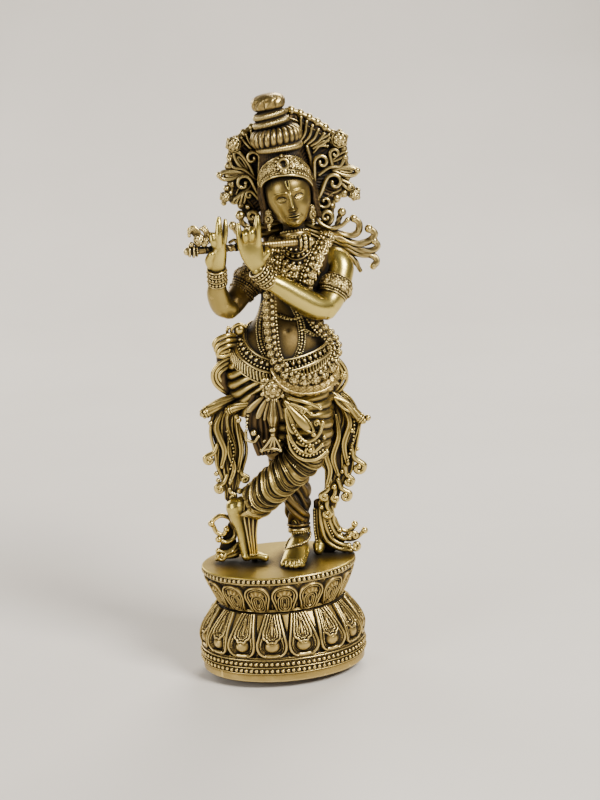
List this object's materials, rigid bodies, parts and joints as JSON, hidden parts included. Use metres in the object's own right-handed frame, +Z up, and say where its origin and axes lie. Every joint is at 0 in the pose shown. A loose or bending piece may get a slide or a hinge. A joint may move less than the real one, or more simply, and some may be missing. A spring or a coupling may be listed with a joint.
{
  "type": "hindu deity statue",
  "caption": "Cast-brass standing deity playing a flute, with crown, garland and sashes, on an oval double-lotus pedestal.",
  "frame": {"origin": "middle of the pedestal's flat underside", "axes": "+Z up through the crown, the figure faces -Y, +X is the figure's left"},
  "size_m": [0.0581, 0.0364, 0.1648],
  "materials": {
    "antique_brass": "antiqued cast brass, dark patina in the recesses and rubbed bright edges",
    "smooth_brass": "satin rubbed brass, faintly mottled",
    "dark_brass": "dark patinated brass, unpolished"
  },
  "bodies": {
    "root": {"back_locks": "dark_brass", "back_plume": "antique_brass", "back_sash": "antique_brass", "base_plate": "dark_brass", "belt_brooch": "antique_brass", "collar": "antique_brass", "crown_core": "dark_brass", "crown_dome": "antique_brass", "crown_ring_lower": "antique_brass", "crown_ring_upper": "antique_brass", "flute": "antique_brass", "flute_charm": "antique_brass", "flute_foot_ring": "antique_brass", "flute_head_ring": "antique_brass", "front_tassel": "antique_brass", "garland_inner_strand": "antique_brass", "garland_outer_strand": "antique_brass", "hair": "dark_brass", "head": "smooth_brass", "hip_belt": "antique_brass", "hip_cloth": "antique_brass", "left_armlet": "antique_brass", "left_bangles": "antique_brass", "left_earring": "antique_brass", "left_foot": "smooth_brass", "left_foot_pin": "dark_brass", "left_foot_scroll": "antique_brass", "left_forearm": "smooth_brass", "left_hand": "smooth_brass", "left_leg": "antique_brass", "left_plume": "antique_brass", "left_sash_bow": "antique_brass", "left_sash_drape": "antique_brass", "left_shoulder_locks": "antique_brass", "left_upper_arm": "smooth_brass", "lower_lotus": "antique_brass", "platform": "smooth_brass", "right_anklet": "antique_brass", "right_armlet": "antique_brass", "right_bangles": "antique_brass", "right_earring": "antique_brass", "right_foot": "smooth_brass", "right_foot_pin": "dark_brass", "right_foot_scroll": "antique_brass", "right_forearm": "smooth_brass", "right_hand": "smooth_brass", "right_leg": "antique_brass", "right_plume": "antique_brass", "right_sash_bow": "antique_brass", "right_sash_drape": "antique_brass", "right_shoulder_locks": "antique_brass", "right_upper_arm": "smooth_brass", "thigh_swag": "antique_brass", "tiara": "antique_brass", "torso": "smooth_brass", "turban_roll": "antique_brass", "upper_lotus": "antique_brass", "waist_belt": "antique_brass"}
  },
  "joints": []
}
